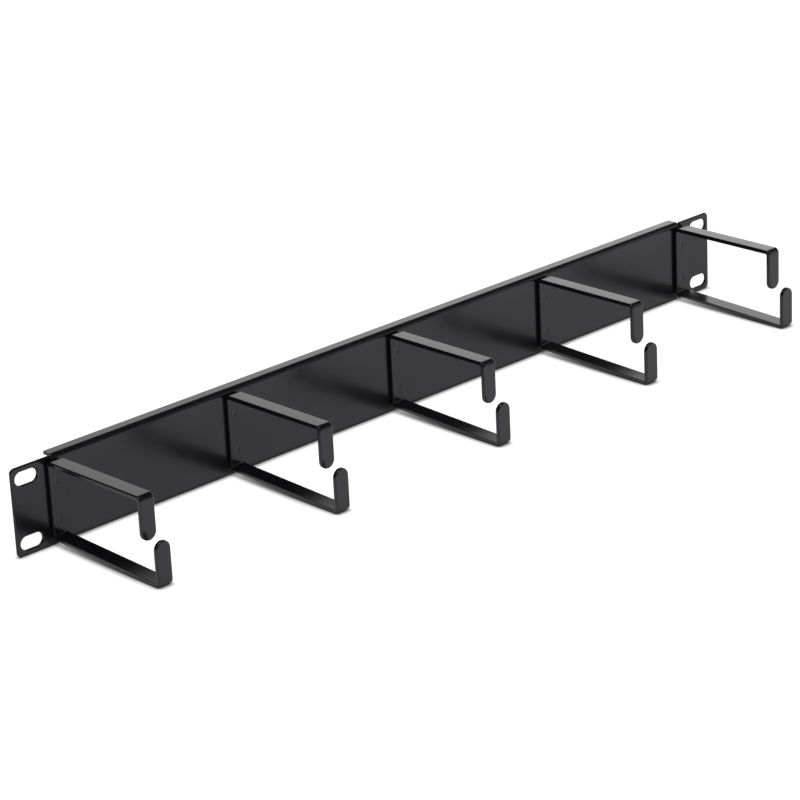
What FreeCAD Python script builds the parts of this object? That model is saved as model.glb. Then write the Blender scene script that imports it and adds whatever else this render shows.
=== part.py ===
import FreeCAD, Part

import os

import Sketcher

# Horizontal cable manager for a 19 inch rack, one rack unit high.
#
# A face panel is folded from one sheet: a flat front with a short flange turned back along its
# top and bottom, and an unflanged ear with two slots at each end.  Five brackets stand on its
# front.  Each is one flat bar bent into an open loop: a web welded to the panel, an upper and a
# lower arm, and a tab at the end of each arm.  The lower arm is longer and falls a little towards
# its tab.  The two tabs pass each other and leave the mouth that cables are pushed in through.
#
# Frame, in millimetres: X along the panel, Y from front to rear, Z up.  The origin is the centre
# of the four slots, in the plane of the ears' rear faces, which lie on the rack's rails.

DRIVING_SIZES = (
    ("panel_length", 482.6, "face panel, ear end to ear end"),
    ("panel_height", 43.8, "face panel, top to bottom"),
    ("sheet_gauge", 1.5, "thickness of the folded sheet"),
    ("sheet_bend_radius", 1.0, "inside radius of the two folds"),
    ("flange_depth", 7.4, "front face to the rear edge of a flange"),
    ("flange_corner_radius", 1.0, "rear corners of the flanges"),
    ("ear_length", 24.3, "panel end to the end of the flanges"),
    ("ear_corner_radius", 2.5, "outer corners of the ears"),
    ("relief_width", 0.5, "slit between ear and flange, along the panel"),
    ("relief_depth", 2.8, "the same slit, down from the panel's edge"),
    ("slot_inset", 8.75, "panel end to the centre of a slot"),
    ("slot_margin", 6.025, "panel's top or bottom edge to the centre of a slot"),
    ("slot_length", 12.5, "slot, end to end"),
    ("slot_width", 6.5, "slot, side to side"),
    ("sheet_edge_break", 0.35, "bevel along the cut edges of the sheet"),
    ("bracket_count", 5, "brackets along the panel"),
    ("bracket_inset", 24.3, "panel end to the middle of an outer bracket"),
    ("strip_width", 8.4, "flat bar of the brackets, along the panel"),
    ("strip_gauge", 2.0, "flat bar of the brackets, thickness"),
    ("strip_edge_break", 0.55, "bevel along the long edges of the flat bar"),
    ("arm_bend_radius", 1.0, "inside radius of the bends beside the web"),
    ("tab_bend_radius", 0.6, "inside radius of the bends at the tabs"),
    ("upper_margin", 1.9, "panel's top edge to the top of an upper arm"),
    ("lower_margin", 2.9, "panel's bottom edge to the underside of a lower arm, at the web"),
    ("lower_fall", 2.8, "how far that underside falls from the web to the tab"),
    ("upper_reach", 67.0, "panel's front face to the front of an upper tab"),
    ("mouth_gap", 7.0, "clear way between the two tabs, front to rear"),
    ("upper_tab_drop", 22.0, "top of an upper arm to the tip of its tab"),
    ("lower_tab_rise", 22.2, "underside of a lower arm, at its tab, to the tip of the tab"),
    ("weld_spacing", 19.2, "between the two spot welds of a web"),
    ("weld_diameter", 3.0, "mark that the welding electrode leaves"),
    ("weld_depth", 0.25, "depth of that mark"),
)
SHEET_NAME = "sizes"
TOLERANCE = 1e-4


class Size:
    """A length with its value now and the formula that ties it to the spreadsheet."""

    def __init__(self, value, formula):
        self.value = float(value)
        self.formula = formula

    def __add__(self, other):
        return Size(self.value + other.value, f"({self.formula} + {other.formula})")

    def __sub__(self, other):
        return Size(self.value - other.value, f"({self.formula} - {other.formula})")

    def __mul__(self, other):
        if isinstance(other, Size):
            return Size(self.value * other.value, f"({self.formula} * {other.formula})")
        return Size(self.value * other, f"({self.formula} * {other})")

    def __truediv__(self, other):
        return Size(self.value / other.value, f"({self.formula} / {other.formula})")

    def __neg__(self):
        return self * -1

    def half(self):
        return self * 0.5


def make_sheet(doc):
    """Write the driving sizes into a spreadsheet and return them as Size values."""
    sheet = doc.addObject("Spreadsheet::Sheet", SHEET_NAME)
    sizes = {}
    for row, (alias, value, meaning) in enumerate(DRIVING_SIZES, start=1):
        sheet.set(f"A{row}", meaning)
        sheet.set(f"B{row}", str(value))
        sheet.setAlias(f"B{row}", alias)
        sizes[alias] = Size(value, f"{SHEET_NAME}.{alias}")
    doc.recompute()
    return sizes


# ---- sketches ----------------------------------------------------------------------------------

# how a sketch numbers the points of an edge, its own two axes and its origin
START, END, CENTRE = range(1, 4)
UPRIGHT_AXIS, LEVEL_AXIS = range(-2, 0)
ORIGIN = (LEVEL_AXIS, START)


def new_sketch(body, name, plane_role, forward=None):
    """A sketch on one of the body's origin planes, or that far out along the plane's normal."""
    sketch = body.newObject("Sketcher::SketchObject", name)
    plane = next(item for item in body.Origin.OriginFeatures if item.Role == plane_role)
    sketch.AttachmentSupport = [(plane, "")]
    sketch.MapMode = "FlatFace"
    if forward is not None:
        sketch.AttachmentOffset.Base.z = forward.value
        sketch.setExpression("AttachmentOffset.Base.z", forward.formula)
    return sketch


def dimension(sketch, kind, where, size):
    """Add a driving dimension to the sketch and bind it to the spreadsheet."""
    index = sketch.addConstraint(Sketcher.Constraint(kind, *where, size.value))
    sketch.setExpression(f"Constraints[{index}]", size.formula)


def place_across(sketch, edge, point, size):
    dimension(sketch, "DistanceX", (*ORIGIN, edge, point), size)


def place_up(sketch, edge, point, size):
    dimension(sketch, "DistanceY", (*ORIGIN, edge, point), size)


def add_line(sketch, start, end):
    """A straight edge between two points, each a pair of Size values."""
    first, last = (FreeCAD.Vector(across.value, up.value) for across, up in (start, end))
    return sketch.addGeometry(Part.LineSegment(first, last))


def join_ends(sketch, edges):
    """Close the edges into one loop, each one's end on the next one's start."""
    for edge, following in zip(edges, edges[1:] + edges[:1]):
        sketch.addConstraint(Sketcher.Constraint("Coincident", edge, END, following, START))


def straight_outline(sketch, corners):
    """A closed outline of straight edges through the corners, in order; returns the edges.

    Level and upright edges are set in place.  A sloping one is left to whoever asked for it.
    """
    edges = [add_line(sketch, *pair) for pair in zip(corners, corners[1:] + corners[:1])]
    join_ends(sketch, edges)
    for edge, start, end in zip(edges, corners, corners[1:] + corners[:1]):
        if start[0].formula == end[0].formula:
            sketch.addConstraint(Sketcher.Constraint("Vertical", edge))
            place_across(sketch, edge, START, start[0])
        elif start[1].formula == end[1].formula:
            sketch.addConstraint(Sketcher.Constraint("Horizontal", edge))
            place_up(sketch, edge, START, start[1])
    return edges


def corner_points(sketch, edges):
    """Where the edges of a solved sketch start, across and up."""
    starts = [sketch.Geometry[edge].StartPoint for edge in edges]
    return [(start.x, start.y) for start in starts]


def add_arc(sketch, centre, radius, start_angle, end_angle):
    """An arc about a point; its angles, in quarter turns, only place it for the solver."""
    middle = FreeCAD.Vector(centre[0].value, centre[1].value)
    circle = Part.Circle(middle, FreeCAD.Vector(0, 0, 1), radius.value)
    quarter = FreeCAD.Units.Quantity("90 deg").getValueAs("rad").Value
    return sketch.addGeometry(Part.ArcOfCircle(circle, start_angle * quarter, end_angle * quarter))


def slot_outline(sketch, across, up, length, width):
    """A slot with round ends, centred on a point and lying level."""
    radius = width.half()
    reach = length.half() - radius
    left, right, top, bottom = across - reach, across + reach, up + radius, up - radius
    left_end = add_arc(sketch, (left, up), radius, 1, 3)
    lower_side = add_line(sketch, (left, bottom), (right, bottom))
    right_end = add_arc(sketch, (right, up), radius, 3, 5)
    upper_side = add_line(sketch, (right, top), (left, top))
    loop = [left_end, lower_side, right_end, upper_side]
    for edge, following in zip(loop, loop[1:] + loop[:1]):
        sketch.addConstraint(Sketcher.Constraint("Tangent", edge, END, following, START))
    for end, centre in ((left_end, left), (right_end, right)):
        place_across(sketch, end, CENTRE, centre)
        place_up(sketch, end, CENTRE, up)
    dimension(sketch, "Radius", (left_end,), radius)
    sketch.addConstraint(Sketcher.Constraint("Equal", left_end, right_end))


# ---- features ----------------------------------------------------------------------------------

def new_body(doc, label):
    body = doc.addObject("PartDesign::Body", label)
    body.Label = label
    return body


def pad(body, sketch, name, length, both_ways=False):
    feature = body.newObject("PartDesign::Pad", name)
    feature.Profile = sketch
    if both_ways:
        feature.SideType = "Symmetric"
    feature.setExpression("Length", length.formula)
    body.Document.recompute()
    return feature


def pocket(body, sketch, name, depth):
    feature = body.newObject("PartDesign::Pocket", name)
    feature.Profile = sketch
    feature.setExpression("Length", depth.formula)
    body.Document.recompute()
    return feature


def fillet(body, name, edge_names, radius):
    feature = body.newObject("PartDesign::Fillet", name)
    feature.Base = (feature.BaseFeature, edge_names)
    feature.setExpression("Radius", radius.formula)
    body.Document.recompute()
    return feature


def bevel(body, name, edge_names, width):
    feature = body.newObject("PartDesign::Chamfer", name)
    feature.Base = (feature.BaseFeature, edge_names)
    feature.setExpression("Size", width.formula)
    body.Document.recompute()
    return feature


def edges_where(body, wanted):
    """Names of the body's edges whose middle point and direction pass the test."""
    names = []
    for number, edge in enumerate(body.Tip.Shape.Edges, start=1):
        middle = edge.valueAt((edge.FirstParameter + edge.LastParameter) / 2)
        direction = edge.tangentAt((edge.FirstParameter + edge.LastParameter) / 2)
        if wanted(middle, direction):
            names.append(f"Edge{number}")
    return names


def same(first, second):
    return abs(first - second) < TOLERANCE


def bend(body, name, corners, radius):
    """Round the edges that run along X through the given points of the side view."""

    def on_a_corner(middle, direction):
        along = same(abs(direction.x), 1)
        return along and any(same(middle.y, y) and same(middle.z, z) for y, z in corners)

    return fillet(body, name, edges_where(body, on_a_corner), radius)


# ---- face panel --------------------------------------------------------------------------------

def make_panel(doc, sizes):
    """The folded sheet: flanged front, two ears, four slots."""
    body = new_body(doc, "panel")
    gauge = sizes["sheet_gauge"]
    half_length = sizes["panel_length"].half()
    half_height = sizes["panel_height"].half()
    flange_end = half_length - sizes["ear_length"]
    add_channel(body, sizes, gauge, half_height, flange_end)
    add_ears(body, sizes, gauge, half_length, half_height, flange_end)
    cut_slots(body, sizes, gauge, half_length, half_height)
    break_sheet_edges(body, sizes, half_length)
    return body


def add_channel(body, sizes, gauge, half_height, flange_end):
    """Front and flanges, extruded from their section and folded with true radii."""
    front, back = -gauge, gauge - gauge
    rear = sizes["flange_depth"] - gauge
    inside = half_height - gauge
    section = new_sketch(body, "channel_section", "YZ_Plane")
    edges = straight_outline(section, [
        (front, half_height), (rear, half_height), (rear, inside), (back, inside),
        (back, -inside), (rear, -inside), (rear, -half_height), (front, -half_height),
    ])
    pad(body, section, "channel", flange_end * 2, both_ways=True)
    upper_outside, _, _, upper_inside, lower_inside, _, _, lower_outside = corner_points(section, edges)
    inner_radius = sizes["sheet_bend_radius"]
    bend(body, "outer_folds", [upper_outside, lower_outside], inner_radius + gauge)
    bend(body, "inner_folds", [upper_inside, lower_inside], inner_radius)

    def rear_corner(middle, direction):
        at_end = same(abs(middle.x), flange_end.value) and same(middle.y, rear.value)
        return at_end and same(abs(direction.z), 1)

    fillet(body, "flange_corners", edges_where(body, rear_corner), sizes["flange_corner_radius"])


def add_ears(body, sizes, gauge, half_length, half_height, flange_end):
    """Flat ears that carry on from the front, with a relief slit beside each fold."""
    slit_side = flange_end + sizes["relief_width"]
    slit_floor = half_height - sizes["relief_depth"]
    outline = new_sketch(body, "ear_outline", "XZ_Plane")
    straight_outline(outline, [
        (flange_end, -slit_floor), (slit_side, -slit_floor), (slit_side, -half_height),
        (half_length, -half_height), (half_length, half_height), (slit_side, half_height),
        (slit_side, slit_floor), (flange_end, slit_floor),
    ])
    right_ear = pad(body, outline, "right_ear", gauge)
    left_ear = body.newObject("PartDesign::Mirrored", "left_ear")
    left_ear.Originals = [right_ear]
    mirror = next(item for item in body.Origin.OriginFeatures if item.Role == "YZ_Plane")
    left_ear.MirrorPlane = (mirror, [""])
    body.Tip = left_ear
    body.Document.recompute()

    def outer_corner(middle, direction):
        at_corner = same(abs(middle.x), half_length.value) and same(abs(middle.z), half_height.value)
        return at_corner and same(abs(direction.y), 1)

    fillet(body, "ear_corners", edges_where(body, outer_corner), sizes["ear_corner_radius"])


def cut_slots(body, sizes, gauge, half_length, half_height):
    """Four slots on the rack's hole pattern, cut from the front."""
    across = half_length - sizes["slot_inset"]
    up = half_height - sizes["slot_margin"]
    outline = new_sketch(body, "slot_outlines", "XZ_Plane", forward=gauge)
    for centre_across in (-across, across):
        for centre_up in (-up, up):
            slot_outline(outline, centre_across, centre_up, sizes["slot_length"], sizes["slot_width"])
    pocket(body, outline, "slots", gauge)


def break_sheet_edges(body, sizes, half_length):
    """Bevel the cut edges of the ears, the flanges and the slots."""
    flange_rear = sizes["flange_depth"].value - sizes["sheet_gauge"].value
    slot_side = sizes["slot_width"].half().value
    slot_level = sizes["panel_height"].half().value - sizes["slot_margin"].value

    def cut_edge(middle, direction):
        ear_end = same(abs(middle.x), half_length.value) and same(abs(direction.z), 1)
        along = same(abs(direction.x), 1)
        flange_edge = along and same(middle.y, flange_rear)
        slot_edge = along and same(abs(abs(middle.z) - slot_level), slot_side)
        return ear_end or flange_edge or slot_edge

    bevel(body, "broken_edges", edges_where(body, cut_edge), sizes["sheet_edge_break"])


# ---- brackets ----------------------------------------------------------------------------------

def make_bracket(doc, sizes, number):
    """One bent flat bar; its own Y = 0 is the back of the web, which seats on the panel."""
    body = new_body(doc, f"bracket_{number}")
    gauge, width = sizes["strip_gauge"], sizes["strip_width"]
    half_height = sizes["panel_height"].half()
    top = half_height - sizes["upper_margin"]
    bottom = sizes["lower_margin"] - half_height
    lowest = bottom - sizes["lower_fall"]
    upper_front = -sizes["upper_reach"]
    lower_front = upper_front - sizes["mouth_gap"] - gauge
    upper_tip = top - sizes["upper_tab_drop"]
    lower_tip = lowest + sizes["lower_tab_rise"]
    bend_bar(body, sizes, (top, bottom, lowest), (upper_front, lower_front), (upper_tip, lower_tip))
    round_tip(body, "upper_tip", width, gauge, -upper_front, upper_tip, upper_tip + width.half())
    round_tip(body, "lower_tip", width, gauge, -lower_front, lower_tip, lower_tip - width.half())
    mark_welds(body, sizes, gauge, (top + bottom).half())
    break_bar_edges(body, sizes, width)
    pitch = (sizes["panel_length"] - sizes["bracket_inset"] * 2) * (1 / (sizes["bracket_count"].value - 1))
    from_middle = pitch * (number - (sizes["bracket_count"].value + 1) / 2)
    body.setExpression("Placement.Base.x", from_middle.formula)
    body.setExpression("Placement.Base.y", (-sizes["sheet_gauge"]).formula)
    doc.recompute()
    return body


def bend_bar(body, sizes, heights, fronts, tips):
    """The bar's side view, extruded to its width, then bent with true radii.

    The heights are those of the upper arm's top and of the lower arm's underside at web and tab.
    """
    gauge = sizes["strip_gauge"]
    top, bottom, lowest = heights
    upper_front, lower_front = fronts
    upper_tip, lower_tip = tips
    back, web = gauge - gauge, -gauge
    upper_back, lower_back = upper_front + gauge, lower_front + gauge
    under_upper = top - gauge
    side = new_sketch(body, "side_view", "YZ_Plane")
    edges = straight_outline(side, [
        (upper_front, upper_tip), (upper_front, top), (back, top), (back, bottom),
        (lower_front, lowest), (lower_front, lower_tip), (lower_back, lower_tip),
        (lower_back, lowest + gauge), (web, bottom + gauge), (web, under_upper),
        (upper_back, under_upper), (upper_back, upper_tip),
    ])
    underside, upper_side = edges[3], edges[7]
    place_up(side, underside, START, bottom)
    place_up(side, underside, END, lowest)
    side.addConstraint(Sketcher.Constraint("Parallel", underside, upper_side))
    dimension(side, "Distance", (upper_side, START, underside), gauge)
    pad(body, side, "bar", sizes["strip_width"], both_ways=True)
    corners = corner_points(side, edges)
    arm_radius, tab_radius = sizes["arm_bend_radius"], sizes["tab_bend_radius"]
    bend(body, "arm_bends_inside", corners[8:10], arm_radius)
    bend(body, "arm_bends_outside", corners[2:4], arm_radius + gauge)
    bend(body, "tab_bends_inside", [corners[7], corners[10]], tab_radius)
    bend(body, "tab_bends_outside", [corners[1], corners[4]], tab_radius + gauge)


def round_tip(body, name, width, gauge, forward, tip, centre_up):
    """Cut a tab's end to a half round as wide as the bar."""
    radius, beyond = width.half(), tip + (tip - centre_up)
    middle = width - width
    pointing_down = tip.value < centre_up.value
    outline = new_sketch(body, f"{name}_outline", "XZ_Plane", forward=forward)
    left, right, far_left, far_right = -radius, radius, -width, width
    if pointing_down:
        arc = add_arc(outline, (middle, centre_up), radius, 2, 4)
        near, far, near_outer, far_outer = right, left, far_right, far_left
    else:
        arc = add_arc(outline, (middle, centre_up), radius, 0, 2)
        near, far, near_outer, far_outer = left, right, far_left, far_right
    shoulder = add_line(outline, (near, centre_up), (near_outer, centre_up))
    first_side = add_line(outline, (near_outer, centre_up), (near_outer, beyond))
    end_side = add_line(outline, (near_outer, beyond), (far_outer, beyond))
    last_side = add_line(outline, (far_outer, beyond), (far_outer, centre_up))
    last_shoulder = add_line(outline, (far_outer, centre_up), (far, centre_up))
    join_ends(outline, [arc, shoulder, first_side, end_side, last_side, last_shoulder])
    for edge in (shoulder, end_side, last_shoulder):
        outline.addConstraint(Sketcher.Constraint("Horizontal", edge))
    for edge in (first_side, last_side):
        outline.addConstraint(Sketcher.Constraint("Vertical", edge))
    outline.addConstraint(Sketcher.Constraint("PointOnObject", arc, CENTRE, UPRIGHT_AXIS))
    place_up(outline, arc, CENTRE, centre_up)
    dimension(outline, "Radius", (arc,), radius)
    place_up(outline, arc, START, centre_up)
    place_up(outline, arc, END, centre_up)
    place_across(outline, first_side, START, near_outer)
    place_across(outline, last_side, START, far_outer)
    place_up(outline, end_side, START, beyond)
    pocket(body, outline, name, gauge)


def mark_welds(body, sizes, gauge, web_middle):
    """Two shallow dishes in the web, where the welding electrode pressed it to the panel."""
    offset = sizes["weld_spacing"].half()
    depth, radius = sizes["weld_depth"], sizes["weld_diameter"].half()
    ball_radius = (radius * radius / depth + depth).half()
    forward = gauge - depth + ball_radius
    for name, up in (("upper_weld", web_middle + offset), ("lower_weld", web_middle - offset)):
        dish = body.newObject("PartDesign::SubtractiveSphere", name)
        dish.setExpression("Radius", ball_radius.formula)
        dish.setExpression("Placement.Base.y", (-forward).formula)
        dish.setExpression("Placement.Base.z", up.formula)
        body.Document.recompute()


def break_bar_edges(body, sizes, width):
    """Bevel the long edges of the bar all the way along, over the bends and the tips."""

    def long_edge(middle, direction):
        return same(abs(middle.x), width.half().value) and same(direction.x, 0)

    bevel(body, "broken_edges", edges_where(body, long_edge), sizes["strip_edge_break"])


# ---- document ----------------------------------------------------------------------------------

def check(doc, bodies):
    """Stop if any object failed to build or any piece isn't one valid solid."""
    for item in doc.Objects:
        if {"Invalid", "Error"} & set(item.State):
            raise RuntimeError(f"{item.Name} failed: {item.State}")
    for body in bodies:
        shape = body.Shape
        if shape.isNull() or not shape.isValid() or len(shape.Solids) != 1:
            raise RuntimeError(f"{body.Label} is not one valid solid")


def main():
    doc = FreeCAD.newDocument("cable_manager")
    sizes = make_sheet(doc)
    bodies = [make_panel(doc, sizes)]
    for number in range(1, int(sizes["bracket_count"].value) + 1):
        bodies.append(make_bracket(doc, sizes, number))
    doc.recompute()
    check(doc, bodies)
    os.makedirs("parts", exist_ok=True)
    for body in bodies:
        body.Shape.exportStep(f"parts/{body.Label}.step")
        print(f"{body.Label}: {body.Shape.Volume:.1f} cubic mm, box {body.Shape.BoundBox}")


main()
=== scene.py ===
"""Looks of the horizontal cable manager: rounded steel under powder coat, studio and camera.

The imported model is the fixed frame. Every size is in metres, with X along the panel, Y towards
the back and Z up. Panel and brackets are modelled again here with edges that are truly round,
each in the place of its solid.
"""

import logging
import math
from collections.abc import Callable
from dataclasses import dataclass
from enum import Enum

import bmesh
import bpy
from mathutils import Matrix, Vector

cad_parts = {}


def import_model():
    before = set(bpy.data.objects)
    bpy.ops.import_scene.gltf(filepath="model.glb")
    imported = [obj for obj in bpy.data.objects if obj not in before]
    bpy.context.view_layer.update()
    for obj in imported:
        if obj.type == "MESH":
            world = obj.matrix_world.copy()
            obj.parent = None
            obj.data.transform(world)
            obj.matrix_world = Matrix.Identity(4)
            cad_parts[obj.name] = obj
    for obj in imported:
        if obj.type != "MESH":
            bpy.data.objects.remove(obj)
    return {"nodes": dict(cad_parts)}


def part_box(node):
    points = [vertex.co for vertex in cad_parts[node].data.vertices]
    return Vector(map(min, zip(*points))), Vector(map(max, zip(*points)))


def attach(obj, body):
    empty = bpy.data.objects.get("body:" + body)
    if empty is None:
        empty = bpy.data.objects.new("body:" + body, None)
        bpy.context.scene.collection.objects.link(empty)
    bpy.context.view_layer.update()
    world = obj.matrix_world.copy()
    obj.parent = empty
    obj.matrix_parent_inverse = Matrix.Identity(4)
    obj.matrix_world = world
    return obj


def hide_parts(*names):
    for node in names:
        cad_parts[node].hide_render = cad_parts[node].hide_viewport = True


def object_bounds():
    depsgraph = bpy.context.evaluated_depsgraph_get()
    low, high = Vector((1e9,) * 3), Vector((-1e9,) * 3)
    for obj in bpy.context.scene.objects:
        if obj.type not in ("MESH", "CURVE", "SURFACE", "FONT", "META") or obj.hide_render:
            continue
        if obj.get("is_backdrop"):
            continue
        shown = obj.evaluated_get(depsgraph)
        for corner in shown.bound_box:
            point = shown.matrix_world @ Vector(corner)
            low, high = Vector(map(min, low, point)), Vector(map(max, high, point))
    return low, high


NEARLY = 0.00001            # metres: two lengths that differ by less are the same
MERGE_GAP = 0.0000025       # metres: points that lie closer become one
FACING = 0.9                # the least share of a normal that counts as facing one way
ALONG = 0.99                # the least share of a direction that counts as running one way
CORNER_TURN = 60.0          # degrees: an edge that turns more is a corner to round
FLAT_TURN = 0.1             # degrees: faces that turn less are one face
MEETING = 0.9999            # the share of a half width that is rounded where two rounds meet

VECTOR = "NodeSocketVector"
FLOAT = "NodeSocketFloat"

log = logging.getLogger("cable_manager")

PlaceTest = Callable[[Vector, Vector], bool]


class Hand(Enum):
    """One end of the panel, as its sign along X."""

    LEFT = -1.0
    RIGHT = 1.0


class Rim(Enum):
    """One long side of the panel, as its sign along Z."""

    UPPER = 1.0
    LOWER = -1.0


def select_only(*objects: bpy.types.Object) -> None:
    """Select nothing but these objects, with the first of them active.

    Args:
        objects: The objects, or none to deselect everything.
    """
    bpy.ops.object.select_all(action="DESELECT")
    for item in objects:
        item.select_set(True)
    if objects:
        bpy.context.view_layer.objects.active = objects[0]


def copy_moved(source: bpy.types.Object, by: Vector) -> bpy.types.Object:
    """Copy an object with a mesh of its own and move the copy.

    Args:
        source: The object.
        by: How far the copy moves.

    Returns:
        The copy.
    """
    select_only(source)
    bpy.ops.object.duplicate(linked=False)
    bpy.ops.transform.translate(value=by)
    bpy.ops.object.transform_apply(location=True, rotation=True, scale=True)
    return bpy.context.object


def near(first: float, second: float) -> bool:
    """Tell whether two lengths are the same, give or take a hundredth of a millimetre."""
    return abs(first - second) < NEARLY


def subtract(piece: bpy.types.Object, cutter: bpy.types.Object) -> None:
    """Cut one mesh out of another and throw the cutter away.

    Args:
        piece: The mesh that is cut.
        cutter: The mesh that is cut out.
    """
    select_only(piece)
    modifier = piece.modifiers.new("cut", "BOOLEAN")
    modifier.operation = "DIFFERENCE"
    modifier.solver = "EXACT"
    modifier.object = cutter
    bpy.ops.object.modifier_apply(modifier=modifier.name)
    bpy.data.objects.remove(cutter)


def add_ball(radius: float, place: Vector, sides: int, rings: int) -> bpy.types.Object:
    """Add a ball with its poles to the front and the back.

    Args:
        radius: Its radius.
        place: Its centre.
        sides: How many sides each ring has.
        rings: How many rings it has from pole to pole.

    Returns:
        The ball.
    """
    select_only()
    bpy.ops.mesh.primitive_uv_sphere_add(
        segments=sides, ring_count=rings, radius=radius, location=place,
        rotation=(math.pi / 2, 0.0, 0.0),
    )
    bpy.ops.object.transform_apply(location=True, rotation=True, scale=True)
    return bpy.context.object


class Workpiece:
    """A block on the bench, drawn out, bent and rounded in edit mode."""

    def __init__(self, name: str, low: Vector, high: Vector) -> None:
        """Add the block between two corners and open it for editing.

        Args:
            name: The piece's name.
            low: Its lowest corner.
            high: Its highest corner.
        """
        select_only()
        bpy.ops.mesh.primitive_cube_add(size=1.0, location=(low + high) / 2, scale=high - low)
        self.piece = bpy.context.object
        self.piece.name = name
        bpy.ops.object.transform_apply(location=True, rotation=True, scale=True)
        bpy.ops.object.mode_set(mode="EDIT")

    def pick_faces(self, wanted: PlaceTest) -> None:
        """Select the faces whose middle and normal pass the test.

        Args:
            wanted: The test.
        """
        bpy.ops.mesh.select_mode(type="FACE")
        bpy.ops.mesh.select_all(action="DESELECT")
        mesh = bmesh.from_edit_mesh(self.piece.data)
        for face in mesh.faces:
            face.select_set(wanted(face.calc_center_median(), face.normal))
        bmesh.update_edit_mesh(self.piece.data)

    def pick_edges(self, wanted: PlaceTest, least_turn: float | None = None) -> None:
        """Select the edges whose middle and direction pass the test.

        Args:
            wanted: The test.
            least_turn: If given, only edges that stand out and where the surface turns by more than
                this angle in degrees.
        """
        bpy.ops.mesh.select_mode(type="EDGE")
        bpy.ops.mesh.select_all(action="DESELECT")
        mesh = bmesh.from_edit_mesh(self.piece.data)
        for edge in mesh.edges:
            start, end = (vertex.co for vertex in edge.verts)
            turns = least_turn is None or (
                edge.is_convex and edge.calc_face_angle() > math.radians(least_turn)
            )
            edge.select_set(turns and wanted((start + end) / 2, (end - start).normalized()))
        bmesh.update_edit_mesh(self.piece.data)

    def pick_corners(self, wanted: PlaceTest = lambda middle, direction: True) -> None:
        """Select the edges that are still sharp corners, where their place passes the test.

        Args:
            wanted: The test, by middle and direction.
        """
        self.pick_edges(wanted, CORNER_TURN)

    def draw_out(self, by: Vector) -> None:
        """Extrude what is selected.

        Args:
            by: How far, along each axis.
        """
        bpy.ops.mesh.extrude_region_move(TRANSFORM_OT_translate={"value": by})

    def fold(self, turn: float, centre: Vector, steps: int) -> None:
        """Spin what is selected round a line along X.

        Args:
            turn: The angle, positive from up to the back.
            centre: A point on the line.
            steps: How many facets the turn has.
        """
        bpy.ops.mesh.spin(steps=steps, angle=turn, center=centre, axis=(1.0, 0.0, 0.0))

    def round_off(self, radius: float, steps: int) -> None:
        """Round the selected edges.

        Args:
            radius: The radius.
            steps: How many facets each edge gets.
        """
        bpy.ops.mesh.bevel(
            offset=radius, offset_type="OFFSET", segments=steps, profile=0.5, affect="EDGES",
            clamp_overlap=False, loop_slide=False,
        )

    def merge(self) -> None:
        """Merge doubled points and turn every face outwards."""
        bpy.ops.mesh.select_all(action="SELECT")
        bpy.ops.mesh.remove_doubles(threshold=MERGE_GAP)
        bpy.ops.mesh.normals_make_consistent(inside=False)

    def cut(self, cutter: bpy.types.Object) -> None:
        """Cut another mesh out of the piece and throw the cutter away.

        Args:
            cutter: The mesh that is cut out.
        """
        bpy.ops.object.mode_set(mode="OBJECT")
        subtract(self.piece, cutter)
        bpy.ops.object.mode_set(mode="EDIT")

    def finish(self, flat_weight: int = 60) -> bpy.types.Object:
        """Leave edit mode and shade the piece smooth, with its flats kept flat.

        Args:
            flat_weight: How strongly large faces pull the shading, from 1 to 100.

        Returns:
            The finished object.
        """
        bpy.ops.object.mode_set(mode="OBJECT")
        bpy.ops.object.shade_smooth()
        flats = self.piece.modifiers.new("flats", "WEIGHTED_NORMAL")
        flats.mode = "FACE_AREA"
        flats.weight = flat_weight
        bpy.ops.object.modifier_apply(modifier=flats.name)
        return self.piece


def join_cutters(parts: list[bpy.types.Object]) -> bpy.types.Object:
    """Join several meshes into one.

    Args:
        parts: The meshes.

    Returns:
        The joined object.
    """
    select_only(*parts)
    bpy.ops.object.join()
    return bpy.context.object


class Steelwork:
    """What panel and brackets share: how a finished piece takes its solid's place."""

    @staticmethod
    def dress(piece: bpy.types.Object, node: str, material: bpy.types.Material) -> None:
        """Put a modelled piece in a solid's place, with its finish.

        Args:
            piece: The piece.
            node: The solid that it stands for.
            material: The finish.
        """
        piece.name = f"{node}_steel"
        piece.data.name = piece.name
        piece.data.materials.clear()
        piece.data.materials.append(material)
        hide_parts(node)
        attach(piece, "root")
        log.info("modelled %s: %d faces", piece.name, len(piece.data.polygons))


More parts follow.
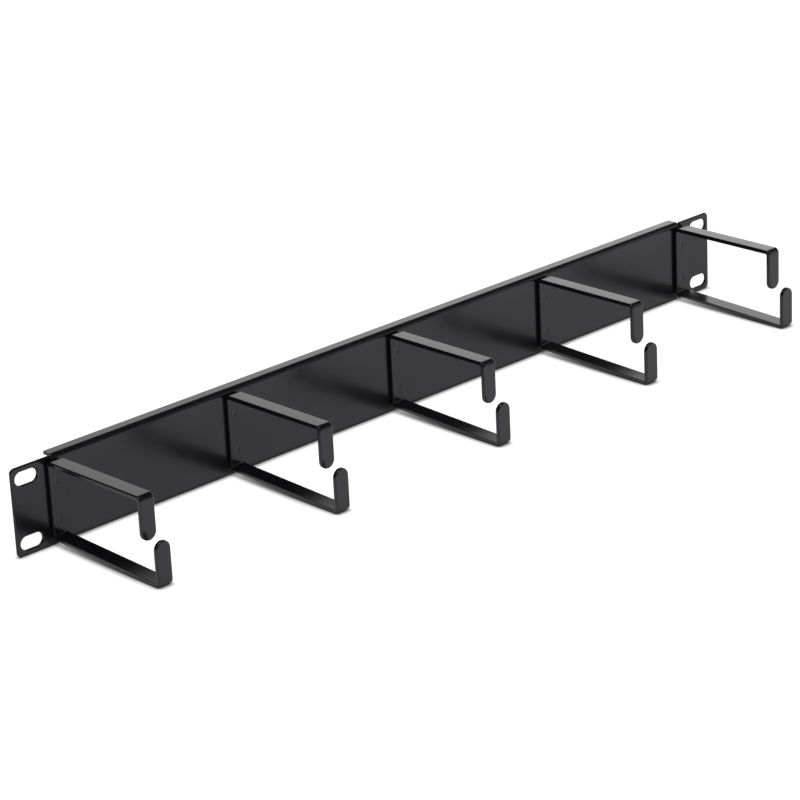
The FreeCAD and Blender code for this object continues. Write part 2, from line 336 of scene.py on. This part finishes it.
@dataclass(frozen=True)
class Bracket(Steelwork):
    """A flat bar bent into two arms and a web between them, with a round-ended tab on each arm."""

    gauge: float = 0.002
    upper_reach: float = 0.067
    lower_level: float = 0.039
    lower_fall: float = 0.0028
    upper_tab: float = 0.022
    lower_tab: float = 0.0222
    arm_radius: float = 0.001
    tab_radius: float = 0.0006
    outer_edge: float = 0.0007
    inner_edge: float = 0.0002
    weld_spacing: float = 0.0192
    weld_width: float = 0.003
    weld_depth: float = 0.00025
    pip_width: float = 0.0013
    pip_sink: float = 0.00002
    bend_steps: int = 14
    tip_steps: int = 12
    edge_steps: int = 5
    mark_sides: int = 32
    dish_rings: int = 96
    pip_rings: int = 32

    def bend(self, low: Vector, high: Vector) -> Workpiece:
        """Draw the bar out from the upper tab's tip and bend it round to the lower tab's tip.

        Args:
            low: The lowest corner of the bracket's box.
            high: The highest corner of the bracket's box.

        Returns:
            The bent bar, still square-edged.
        """
        front = high.y - self.upper_reach
        foot = high.z - self.lower_level
        toe = foot - self.lower_fall
        corners = [Vector((0.0, front, high.z)), Vector((0.0, high.y, high.z)),
                   Vector((0.0, high.y, foot)), Vector((0.0, low.y, toe))]
        inside = [self.tab_radius, self.arm_radius, self.arm_radius, self.tab_radius]
        end = Vector((0.0, low.y, toe + self.lower_tab))
        start = Vector((0.0, front, high.z - self.upper_tab))
        stops = [start, *corners, end]
        runs = [(after - before).normalized() for before, after in zip(stops, stops[1:])]
        turns = [before.angle(after) for before, after in zip(runs, runs[1:])]
        radii = [radius + self.gauge for radius in inside]
        lead_ins = [radius * math.tan(turn / 2) for radius, turn in zip(radii, turns)]
        bar = Workpiece(
            "bracket",
            Vector((low.x, front, start.z)),
            Vector((high.x, front + self.gauge, high.z - lead_ins[0])),
        )
        bar.pick_faces(lambda middle, normal: normal.z > FACING)
        for index, (corner, radius, turn) in enumerate(zip(corners, radii, turns)):
            towards = runs[index]
            inwards = Vector((0.0, towards.z, -towards.y))
            centre = corner - towards * lead_ins[index] + inwards * radius
            bar.fold(turn, centre, self.bend_steps)
            following = stops[index + 2]
            spare = lead_ins[index] + (lead_ins[index + 1] if index + 1 < len(lead_ins) else 0.0)
            bar.draw_out(runs[index + 1] * ((following - corner).length - spare))
        return bar

    def round_tips(self, bar: Workpiece, low: Vector, high: Vector) -> None:
        """Give each tab a half-round end as wide as the bar.

        Args:
            bar: The bent bar.
            low: The lowest corner of the bracket's box.
            high: The highest corner of the bracket's box.
        """
        upper_tip = high.z - self.upper_tab
        lower_tip = high.z - self.lower_level - self.lower_fall + self.lower_tab

        def at_a_tip(middle: Vector, direction: Vector) -> bool:
            """Tell whether an edge runs through the bar at the corner of a tip.

            Args:
                middle: The edge's middle.
                direction: The edge's direction.

            Returns:
                True for such an edge.
            """
            at_side = near(middle.x, low.x) or near(middle.x, high.x)
            at_end = near(middle.z, upper_tip) or near(middle.z, lower_tip)
            return abs(direction.y) > ALONG and at_side and at_end

        bar.pick_edges(at_a_tip)
        bar.round_off((high.x - low.x) / 2 * MEETING, self.tip_steps)
        bar.merge()

    def round_edges(self, bar: Workpiece, low: Vector, high: Vector) -> None:
        """Round the bar's edges, more on the outside of the loop than on the inside.

        Args:
            bar: The bent bar.
            low: The lowest corner of the bracket's box.
            high: The highest corner of the bracket's box.
        """
        half = self.gauge / 2
        front, back = high.y - self.upper_reach + half, high.y - half
        toe = high.z - self.lower_level - self.lower_fall
        lane = [
            Vector((0.0, front, high.z - self.upper_tab)),
            Vector((0.0, front, high.z - half)),
            Vector((0.0, back, high.z - half)),
            Vector((0.0, back, high.z - self.lower_level + half)),
            Vector((0.0, low.y + half, toe + half)),
            Vector((0.0, low.y + half, toe + self.lower_tab)),
        ]

        def is_outside(middle: Vector, direction: Vector) -> bool:
            """Tell whether an edge lies on the outer side of the bar's middle line.

            Args:
                middle: The edge's middle.
                direction: The edge's direction, which makes no difference.

            Returns:
                True for an outer edge.
            """
            spot = Vector((0.0, middle.y, middle.z))
            reaches = []
            for start, end in zip(lane, lane[1:]):
                run = end - start
                along = min(max((spot - start).dot(run) / run.length_squared, 0.0), 1.0)
                foot = start + run * along
                inwards = Vector((0.0, run.z, -run.y)).normalized()
                reaches.append(((spot - foot).length, (spot - foot).dot(inwards)))
            return min(reaches)[1] < 0.0

        bar.pick_corners(is_outside)
        bar.round_off(self.outer_edge, self.edge_steps)
        bar.merge()
        bar.pick_corners()
        bar.round_off(self.inner_edge, self.edge_steps)
        bar.merge()

    def press_welds(self, bar: Workpiece, low: Vector, high: Vector) -> None:
        """Press the two weld marks into the front of the web: a shallow dish round a low pip.

        Args:
            bar: The rounded bar.
            low: The lowest corner of the bracket's box.
            high: The highest corner of the bracket's box.
        """
        bpy.ops.object.mode_set(mode="OBJECT")
        dish_radius, pip_radius = (
            ((width / 2) ** 2 / self.weld_depth + self.weld_depth) / 2
            for width in (self.weld_width, self.pip_width)
        )
        face = high.y - self.gauge
        dishes = []
        for sign in (-1.0, 1.0):
            level = high.z - self.lower_level / 2 + sign * self.weld_spacing / 2
            middle = (low.x + high.x) / 2
            dish_centre = Vector((middle, face + self.weld_depth - dish_radius, level))
            pip_centre = Vector((middle, face + self.pip_sink + pip_radius, level))
            dish = add_ball(dish_radius, dish_centre, self.mark_sides, self.dish_rings)
            pip = add_ball(pip_radius, pip_centre, self.mark_sides, self.pip_rings)
            subtract(dish, pip)
            dishes.append(dish)
        bar.cut(join_cutters(dishes))

    def build(self, node: str) -> bpy.types.Object:
        """Model one bracket in the place of its solid.

        Args:
            node: The solid's name.

        Returns:
            The finished bracket.
        """
        low, high = (Vector(corner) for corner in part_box(node))
        bar = self.bend(low, high)
        self.round_tips(bar, low, high)
        self.round_edges(bar, low, high)
        self.press_welds(bar, low, high)
        return bar.finish()

    def repeat(self, model: bpy.types.Object, source: str, node: str) -> bpy.types.Object:
        """Copy the modelled bracket to another solid's place, with a mesh of its own.

        Args:
            model: The bracket that was modelled.
            source: The solid that it stands for.
            node: The solid whose place the copy takes.

        Returns:
            The copy.
        """
        return copy_moved(model, Vector(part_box(node)[0]) - Vector(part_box(source)[0]))


@dataclass(frozen=True)
class Panel(Steelwork):
    """The folded sheet: a flat front between two flanges, an ear at each end and four slots."""

    gauge: float = 0.0015
    fold_radius: float = 0.001
    ear_length: float = 0.0243
    slit_width: float = 0.0005
    slit_depth: float = 0.0028
    ear_corner: float = 0.0025
    flange_corner: float = 0.001
    slot_inset: float = 0.00875
    slot_margin: float = 0.006025
    slot_length: float = 0.0125
    slot_width: float = 0.0065
    ear_edge: float = 0.0007
    cut_edge: float = 0.0002
    fold_steps: int = 14
    corner_steps: int = 10
    slot_steps: int = 12
    edge_steps: int = 4

    def draw_sheet(self, low: Vector, high: Vector) -> Workpiece:
        """Draw the ears out of the flat front, leaving a slit beside each flange.

        Args:
            low: The lowest corner of the panel's box.
            high: The highest corner of the panel's box.

        Returns:
            The flat sheet.
        """
        flange_end = high.x - self.ear_length
        slit_floor = high.z - self.slit_depth
        sheet = Workpiece(
            "panel_sheet",
            Vector((-flange_end, low.y, -slit_floor)),
            Vector((flange_end, low.y + self.gauge, slit_floor)),
        )
        for hand in Hand:
            sheet.pick_faces(lambda middle, normal: normal.x * hand.value > FACING)
            sheet.draw_out(Vector((hand.value * self.slit_width, 0.0, 0.0)))
            sheet.draw_out(Vector((hand.value * (self.ear_length - self.slit_width), 0.0, 0.0)))
        ear_start = flange_end + self.slit_width
        for rim in Rim:
            sheet.pick_faces(
                lambda middle, normal: normal.z * rim.value > FACING and abs(middle.x) > ear_start
            )
            sheet.draw_out(Vector((0.0, 0.0, rim.value * self.slit_depth)))
        return sheet

    def fold_flanges(self, sheet: Workpiece, low: Vector, high: Vector) -> None:
        """Fold the two flanges to the back.

        Args:
            sheet: The flat sheet.
            low: The lowest corner of the panel's box.
            high: The highest corner of the panel's box.
        """
        radius = self.fold_radius + self.gauge
        flange_end = high.x - self.ear_length
        slit_floor = high.z - self.slit_depth
        for rim in Rim:
            sheet.pick_faces(
                lambda middle, normal: normal.z * rim.value > FACING
                and abs(middle.x) < flange_end
                and near(middle.z, rim.value * slit_floor)
            )
            sheet.draw_out(Vector((0.0, 0.0, rim.value * (self.slit_depth - radius))))
            centre = Vector((0.0, low.y + radius, rim.value * (high.z - radius)))
            sheet.fold(rim.value * math.pi / 2, centre, self.fold_steps)
            sheet.draw_out(Vector((0.0, high.y - centre.y, 0.0)))

    def round_corners(self, sheet: Workpiece, high: Vector) -> None:
        """Round the corners of the ears and of the flanges.

        Args:
            sheet: The folded sheet.
            high: The highest corner of the panel's box.
        """
        bpy.ops.mesh.select_all(action="SELECT")
        bpy.ops.mesh.dissolve_limited(
            angle_limit=math.radians(FLAT_TURN), use_dissolve_boundaries=True
        )
        sheet.pick_edges(
            lambda middle, direction: abs(direction.y) > ALONG
            and near(abs(middle.x), high.x)
            and near(abs(middle.z), high.z)
        )
        sheet.round_off(self.ear_corner, self.corner_steps)
        sheet.pick_edges(
            lambda middle, direction: abs(direction.z) > ALONG
            and near(abs(middle.x), high.x - self.ear_length)
            and near(middle.y, high.y)
        )
        sheet.round_off(self.flange_corner, self.corner_steps)

    def punch_slots(self, sheet: Workpiece, low: Vector, high: Vector) -> None:
        """Punch the four slots.

        Args:
            sheet: The folded sheet.
            low: The lowest corner of the panel's box.
            high: The highest corner of the panel's box.
        """
        bpy.ops.object.mode_set(mode="OBJECT")
        across, up = high.x - self.slot_inset, high.z - self.slot_margin
        reach = Vector((self.slot_length / 2, self.gauge, self.slot_width / 2))
        middle = Vector((across, low.y + self.gauge / 2, up))
        punch = Workpiece("punch", middle - reach, middle + reach)
        punch.pick_edges(lambda middle, direction: abs(direction.y) > ALONG)
        punch.round_off(self.slot_width / 2 * MEETING, self.slot_steps)
        punch.merge()
        bpy.ops.object.mode_set(mode="OBJECT")
        across_back, down = Vector((-2 * across, 0.0, 0.0)), Vector((0.0, 0.0, -2 * up))
        copies = [copy_moved(punch.piece, by) for by in (across_back, down, across_back + down)]
        sheet.cut(join_cutters([punch.piece, *copies]))

    def build(self, node: str) -> bpy.types.Object:
        """Model the panel in the place of its solid.

        Args:
            node: The solid's name.

        Returns:
            The finished panel.
        """
        low, high = (Vector(corner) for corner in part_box(node))
        sheet = self.draw_sheet(low, high)
        self.fold_flanges(sheet, low, high)
        self.round_corners(sheet, high)
        self.punch_slots(sheet, low, high)
        sheet.merge()
        ear_start = high.x - self.ear_length + self.slit_width
        sheet.pick_corners(lambda middle, direction: abs(middle.x) >= ear_start + NEARLY)
        sheet.round_off(self.ear_edge, self.edge_steps)
        sheet.merge()
        sheet.pick_corners()
        sheet.round_off(self.cut_edge, self.edge_steps)
        sheet.merge()
        return sheet.finish()


class Effect:
    """A node group that several finishes share, with plain values and vectors going in and out."""

    def __init__(self, name: str, inputs: dict[str, str], output: tuple[str, str]) -> None:
        """Start the group.

        Args:
            name: The group's name.
            inputs: The kind of socket for each input, by name.
            output: The name and the kind of socket of what comes out.
        """
        self.tree = bpy.data.node_groups.new(name, "ShaderNodeTree")
        for label, kind in inputs.items():
            self.tree.interface.new_socket(name=label, in_out="INPUT", socket_type=kind)
        self.tree.interface.new_socket(name=output[0], in_out="OUTPUT", socket_type=output[1])
        self.given = self.tree.nodes.new("NodeGroupInput").outputs
        self.result = self.tree.nodes.new("NodeGroupOutput").inputs[0]

    def noise(self, scale: bpy.types.NodeSocket | float, detail: float) -> bpy.types.NodeSocket:
        """Add noise on the group's place.

        Args:
            scale: How fine it is, as a number or as an input of the group.
            detail: How many finer layers it has.

        Returns:
            The socket that puts out the noise.
        """
        cloud = self.tree.nodes.new("ShaderNodeTexNoise")
        cloud.inputs["Detail"].default_value = detail
        if isinstance(scale, float):
            cloud.inputs["Scale"].default_value = scale
        else:
            self.tree.links.new(scale, cloud.inputs["Scale"])
        self.tree.links.new(self.given["Place"], cloud.inputs["Vector"])
        return cloud.outputs["Fac"]

    def reshape(
        self, value: bpy.types.NodeSocket, start: float, end: float,
        low: bpy.types.NodeSocket | float, high: bpy.types.NodeSocket | float,
    ) -> bpy.types.NodeSocket:
        """Stretch a range of a value softly on to another range.

        Args:
            value: The socket that carries the value.
            start: Where the range starts.
            end: Where the range ends.
            low: What comes out at the start.
            high: What comes out at the end.

        Returns:
            The socket that puts out the new value.
        """
        step = self.tree.nodes.new("ShaderNodeMapRange")
        step.interpolation_type = "SMOOTHSTEP"
        step.inputs["From Min"].default_value = start
        step.inputs["From Max"].default_value = end
        for name, wanted in (("To Min", low), ("To Max", high)):
            if isinstance(wanted, float):
                step.inputs[name].default_value = wanted
            else:
                self.tree.links.new(wanted, step.inputs[name])
        self.tree.links.new(value, step.inputs["Value"])
        return step.outputs["Result"]

    def end(self, value: bpy.types.NodeSocket) -> bpy.types.NodeTree:
        """Put a value out of the group.

        Args:
            value: The socket that carries it.

        Returns:
            The finished group.
        """
        self.tree.links.new(value, self.result)
        return self.tree


@dataclass(frozen=True)
class OrangePeel:
    """A skin with a faint orange peel; scale and height are set where it is used."""

    detail: float = 1.0

    def build(self) -> bpy.types.NodeTree:
        """Make the effect.

        Returns:
            The node group, which puts out a normal.
        """
        inputs = {"Place": VECTOR, "Scale": FLOAT, "Height": FLOAT}
        effect = Effect("orange_peel", inputs, ("Normal", VECTOR))
        bump = effect.tree.nodes.new("ShaderNodeBump")
        bump.inputs["Strength"].default_value = 1.0
        effect.tree.links.new(effect.given["Height"], bump.inputs["Distance"])
        peel = effect.noise(effect.given["Scale"], self.detail)
        effect.tree.links.new(peel, bump.inputs["Height"])
        return effect.end(bump.outputs["Normal"])


@dataclass(frozen=True)
class GlossCloud:
    """A gloss that drifts between two roughnesses, which are set where it is used."""

    scale: float = 60.0
    detail: float = 4.0
    start: float = 0.3
    end: float = 0.7

    def build(self) -> bpy.types.NodeTree:
        """Make the effect.

        Returns:
            The node group, which puts out a roughness.
        """
        inputs = {"Place": VECTOR, "Low": FLOAT, "High": FLOAT}
        effect = Effect("gloss_cloud", inputs, ("Roughness", FLOAT))
        drift = effect.noise(self.scale, self.detail)
        low, high = effect.given["Low"], effect.given["High"]
        return effect.end(effect.reshape(drift, self.start, self.end, low, high))


@dataclass(frozen=True)
class SettledDust:
    """Fine dust, which settles on what looks up; its amount is set where it is used."""

    scale: float = 1400.0
    detail: float = 2.0
    speck_start: float = 0.62
    speck_end: float = 0.74
    upright: float = 0.2
    level: float = 0.9
    on_uprights: float = 0.15

    def build(self) -> bpy.types.NodeTree:
        """Make the effect.

        Returns:
            The node group, which puts out a mask.
        """
        inputs = {"Place": VECTOR, "Amount": FLOAT}
        effect = Effect("settled_dust", inputs, ("Mask", FLOAT))
        shape = effect.tree.nodes.new("ShaderNodeNewGeometry")
        split = effect.tree.nodes.new("ShaderNodeSeparateXYZ")
        effect.tree.links.new(shape.outputs["Normal"], split.inputs["Vector"])
        upward = effect.reshape(split.outputs["Z"], self.upright, self.level, self.on_uprights, 1.0)
        grain = effect.noise(self.scale, self.detail)
        amount = effect.given["Amount"]
        specks = effect.reshape(grain, self.speck_start, self.speck_end, 0.0, amount)
        both = effect.tree.nodes.new("ShaderNodeMath")
        both.operation = "MULTIPLY"
        effect.tree.links.new(upward, both.inputs[0])
        effect.tree.links.new(specks, both.inputs[1])
        return effect.end(both.outputs["Value"])


@dataclass(frozen=True)
class PowderCoat:
    """A baked powder coat: near-black pigment under a smooth skin, with a little dust on it."""

    name: str
    gloss_low: float
    gloss_high: float
    peel_size: float
    peel_height: float
    dust: float
    pigment: tuple[float, float, float] = (0.0038, 0.0036, 0.0044)
    dust_tone: tuple[float, float, float] = (0.060, 0.060, 0.062)
    skin_ior: float = 1.38
    skin_tint: tuple[float, float, float] = (0.96, 0.935, 1.0)

    def build(
        self, peel: bpy.types.NodeTree, cloud: bpy.types.NodeTree, dust: bpy.types.NodeTree
    ) -> bpy.types.Material:
        """Make the material.

        Args:
            peel: The effect that puts out the skin's normal.
            cloud: The effect that puts out the roughness.
            dust: The effect that puts out where dust lies.

        Returns:
            The finished material.
        """
        material = bpy.data.materials.new(self.name)
        material.use_nodes = True
        tree = material.node_tree
        shader = tree.nodes["Principled BSDF"]
        shader.inputs["IOR"].default_value = self.skin_ior
        shader.inputs["Specular Tint"].default_value = (*self.skin_tint, 1.0)
        peel_scale = 1.0 / self.peel_size
        skin = self.add_effect(tree, peel, {"Scale": peel_scale, "Height": self.peel_height})
        gloss = self.add_effect(tree, cloud, {"Low": self.gloss_low, "High": self.gloss_high})
        specks = self.add_effect(tree, dust, {"Amount": self.dust})
        tint = tree.nodes.new("ShaderNodeMixRGB")
        tint.inputs["Color1"].default_value = (*self.pigment, 1.0)
        tint.inputs["Color2"].default_value = (*self.dust_tone, 1.0)
        tree.links.new(specks, tint.inputs["Fac"])
        tree.links.new(tint.outputs["Color"], shader.inputs["Base Color"])
        tree.links.new(gloss, shader.inputs["Roughness"])
        tree.links.new(skin, shader.inputs["Normal"])
        return material

    @staticmethod
    def add_effect(
        tree: bpy.types.NodeTree, effect: bpy.types.NodeTree, amounts: dict[str, float]
    ) -> bpy.types.NodeSocket:
        """Add an effect to a material, placed by the object's own coordinates.

        Args:
            tree: The material's node tree.
            effect: The node group.
            amounts: The value of each input, by name.

        Returns:
            The socket that the effect puts out.
        """
        node = tree.nodes.new("ShaderNodeGroup")
        node.node_tree = effect
        place = tree.nodes.new("ShaderNodeTexCoord")
        tree.links.new(place.outputs["Object"], node.inputs["Place"])
        for name, amount in amounts.items():
            node.inputs[name].default_value = amount
        return node.outputs[0]


@dataclass(frozen=True)
class Camera:
    """The camera: where it aims, from how far, and how it is turned."""

    aim: tuple[float, float, float]
    distance: float
    heading: float
    dip: float
    roll: float
    lens: float
    sensor: float = 36.0
    clip: tuple[float, float] = (0.01, 50.0)

    def build(self) -> bpy.types.Object:
        """Make the camera and make it the scene's own.

        Returns:
            The camera object.
        """
        heading = math.radians(self.heading)
        dip = math.radians(self.dip)
        level_look = Vector((math.sin(heading), math.cos(heading), 0.0))
        look = level_look * math.cos(dip) - Vector((0.0, 0.0, math.sin(dip)))
        level_right = Vector((math.cos(heading), -math.sin(heading), 0.0))
        level_up = level_right.cross(look)
        roll = math.radians(self.roll)
        right = level_right * math.cos(roll) - level_up * math.sin(roll)
        up = level_up * math.cos(roll) + level_right * math.sin(roll)
        data = bpy.data.cameras.new("camera")
        data.lens = self.lens
        data.sensor_width = self.sensor
        data.clip_start, data.clip_end = self.clip
        camera = bpy.data.objects.new("camera", data)
        bpy.context.scene.collection.objects.link(camera)
        place = Vector(self.aim) - look * self.distance
        turn = Matrix((right, up, -look)).transposed().to_4x4()
        camera.matrix_world = Matrix.Translation(place) @ turn
        bpy.context.scene.camera = camera
        return camera


@dataclass(frozen=True)
class Studio:
    """A softly glowing pale floor with a painted pool of light in front and a painted contact
    shadow round the pieces, one broad lamp and a bright wall.
    """

    floor_side: float = 12.0
    floor_tone: float = 0.36
    floor_glow: float = 0.89
    # The floor's glow rises towards the front to this: a painted pool of light.
    painted_pool_glow: float = 1.18
    painted_pool_start: float = -0.065
    painted_pool_full: float = -0.100
    # Ambient occlusion darkens the floor's glow near the pieces: a painted contact shadow.
    painted_shadow_reach: float = 0.0036
    painted_shadow_depth: float = 2.2
    painted_shadow_samples: int = 8
    lamp_side: float = 1.2
    lamp_height: float = 1.8
    lamp_offset: tuple[float, float] = (-0.45, -0.35)
    lamp_power: float = 27.0
    wall_glow: float = 2.3
    room_glow: float = 0.05
    wall_low: float = 0.28
    wall_high: float = 0.70
    wall_bearing: float = 80.0
    wall_dim: float = 0.30
    wall_full: float = 0.95

    def lay_floor(self, level: float) -> None:
        """Lay the floor, with a painted pool of light in front and a painted contact shadow round
        the pieces in its glow.

        Args:
            level: The floor's height.
        """
        select_only()
        bpy.ops.mesh.primitive_plane_add(size=self.floor_side, location=(0.0, 0.0, level))
        floor = bpy.context.object
        floor.name = "floor"
        bpy.ops.object.transform_apply(location=True, rotation=True, scale=True)
        material = bpy.data.materials.new("floor_paper")
        material.use_nodes = True
        tree = material.node_tree
        shader = tree.nodes["Principled BSDF"]
        tone = self.floor_tone
        shader.inputs["Base Color"].default_value = (tone, tone, tone, 1.0)
        shader.inputs["Roughness"].default_value = 1.0
        shader.inputs["Specular IOR Level"].default_value = 0.0
        shader.inputs["Emission Color"].default_value = (1.0, 1.0, 1.0, 1.0)
        place = tree.nodes.new("ShaderNodeTexCoord")
        split = tree.nodes.new("ShaderNodeSeparateXYZ")
        tree.links.new(place.outputs["Object"], split.inputs["Vector"])
        # The glow rises towards the front of the floor: a painted pool of light.
        painted_pool = self.add_fade(tree, split.outputs["Y"], self.painted_pool_start, self.painted_pool_full)
        glow = tree.nodes.new("ShaderNodeMapRange")
        glow.inputs["To Min"].default_value = self.floor_glow
        glow.inputs["To Max"].default_value = self.painted_pool_glow
        tree.links.new(painted_pool, glow.inputs["Value"])
        # Ambient occlusion darkens the glow near the pieces: a painted contact shadow. The floor's
        # own shading from the lamp is real.
        painted_shadow = tree.nodes.new("ShaderNodeAmbientOcclusion")
        painted_shadow.samples = self.painted_shadow_samples
        painted_shadow.inputs["Distance"].default_value = self.painted_shadow_reach
        deepen = tree.nodes.new("ShaderNodeMath")
        deepen.operation = "POWER"
        deepen.inputs[1].default_value = self.painted_shadow_depth
        tree.links.new(painted_shadow.outputs["AO"], deepen.inputs[0])
        lit = tree.nodes.new("ShaderNodeMath")
        lit.operation = "MULTIPLY"
        tree.links.new(glow.outputs["Result"], lit.inputs[0])
        tree.links.new(deepen.outputs["Value"], lit.inputs[1])
        tree.links.new(lit.outputs["Value"], shader.inputs["Emission Strength"])
        floor.data.materials.append(material)
        floor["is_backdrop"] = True

    def hang_lamp(self) -> None:
        """Hang the broad lamp, aimed at the middle of the floor."""
        data = bpy.data.lights.new("soft_box", "AREA")
        data.shape = "SQUARE"
        data.size = self.lamp_side
        data.energy = self.lamp_power
        lamp = bpy.data.objects.new("soft_box", data)
        bpy.context.scene.collection.objects.link(lamp)
        lamp.location = (*self.lamp_offset, self.lamp_height)
        lamp.rotation_euler = (-Vector(lamp.location)).to_track_quat("-Z", "Y").to_euler()

    def light_walls(self) -> None:
        """Light the walls from one side, brightest near the floor."""
        world = bpy.data.worlds.new("studio_walls")
        bpy.context.scene.world = world
        world.use_nodes = True
        tree = world.node_tree
        back = tree.nodes["Background"]
        back.inputs["Color"].default_value = (1.0, 1.0, 1.0, 1.0)
        place = tree.nodes.new("ShaderNodeTexCoord")
        split = tree.nodes.new("ShaderNodeSeparateXYZ")
        tree.links.new(place.outputs["Generated"], split.inputs["Vector"])
        height = self.add_fade(tree, split.outputs["Z"], self.wall_high, self.wall_low)
        bearing = math.radians(self.wall_bearing)
        across = tree.nodes.new("ShaderNodeVectorMath")
        across.operation = "DOT_PRODUCT"
        across.inputs[1].default_value = (math.sin(bearing), math.cos(bearing), 0.0)
        tree.links.new(place.outputs["Generated"], across.inputs[0])
        depth = self.add_fade(tree, across.outputs["Value"], self.wall_dim, self.wall_full)
        both = tree.nodes.new("ShaderNodeMath")
        both.operation = "MULTIPLY"
        tree.links.new(height, both.inputs[0])
        tree.links.new(depth, both.inputs[1])
        glow = tree.nodes.new("ShaderNodeMapRange")
        glow.inputs["To Min"].default_value = self.room_glow
        glow.inputs["To Max"].default_value = self.wall_glow
        tree.links.new(both.outputs["Value"], glow.inputs["Value"])
        tree.links.new(glow.outputs["Result"], back.inputs["Strength"])

    @staticmethod
    def add_fade(
        tree: bpy.types.NodeTree, value: bpy.types.NodeSocket, dark: float, bright: float
    ) -> bpy.types.NodeSocket:
        """Add a soft step.

        Args:
            tree: The node tree.
            value: The socket that drives the step.
            dark: The value at which the step puts out 0.
            bright: The value at which the step puts out 1.

        Returns:
            The socket that puts out the step.
        """
        fade = tree.nodes.new("ShaderNodeMapRange")
        fade.interpolation_type = "SMOOTHSTEP"
        low, high = sorted((dark, bright))
        fade.inputs["From Min"].default_value = low
        fade.inputs["From Max"].default_value = high
        fade.inputs["To Min"].default_value = 0.0 if dark == low else 1.0
        fade.inputs["To Max"].default_value = 1.0 if dark == low else 0.0
        tree.links.new(value, fade.inputs["Value"])
        return fade.outputs["Result"]

    def build(self, level: float) -> None:
        """Set up floor, lamp and walls.

        Args:
            level: The floor's height.
        """
        self.lay_floor(level)
        self.hang_lamp()
        self.light_walls()


def main() -> None:
    """Load the model, model and dress its pieces, and set up studio and camera."""
    logging.basicConfig(level=logging.INFO, format="%(message)s")
    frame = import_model()
    cad_box = [list(corner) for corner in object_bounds()]
    effects = (OrangePeel().build(), GlossCloud().build(), SettledDust().build())
    sheet_coat = PowderCoat(
        "sheet_black_coat", gloss_low=0.19, gloss_high=0.23,
        peel_size=0.0014, peel_height=0.000008, dust=0.5,
    ).build(*effects)
    bar_coat = PowderCoat(
        "bar_black_coat", gloss_low=0.18, gloss_high=0.22,
        peel_size=0.0011, peel_height=0.000006, dust=0.35,
    ).build(*effects)
    panel = Panel()
    panel.dress(panel.build("panel"), "panel", sheet_coat)
    first, *others = sorted(name for name in frame["nodes"] if name.startswith("bracket"))
    bracket = Bracket()
    model = bracket.build(first)
    bracket.dress(model, first, bar_coat)
    for node in others:
        bracket.dress(bracket.repeat(model, first, node), node, bar_coat)
    Studio().build(cad_box[0][2])
    Camera(
        aim=(-0.0020, -0.0059, -0.0149), distance=1.5594,
        heading=43.226, dip=20.967, roll=2.815, lens=139.33,
    ).build()
    scene = bpy.context.scene
    scene.view_settings.view_transform = "Standard"


if __name__ == "__main__":
    main()
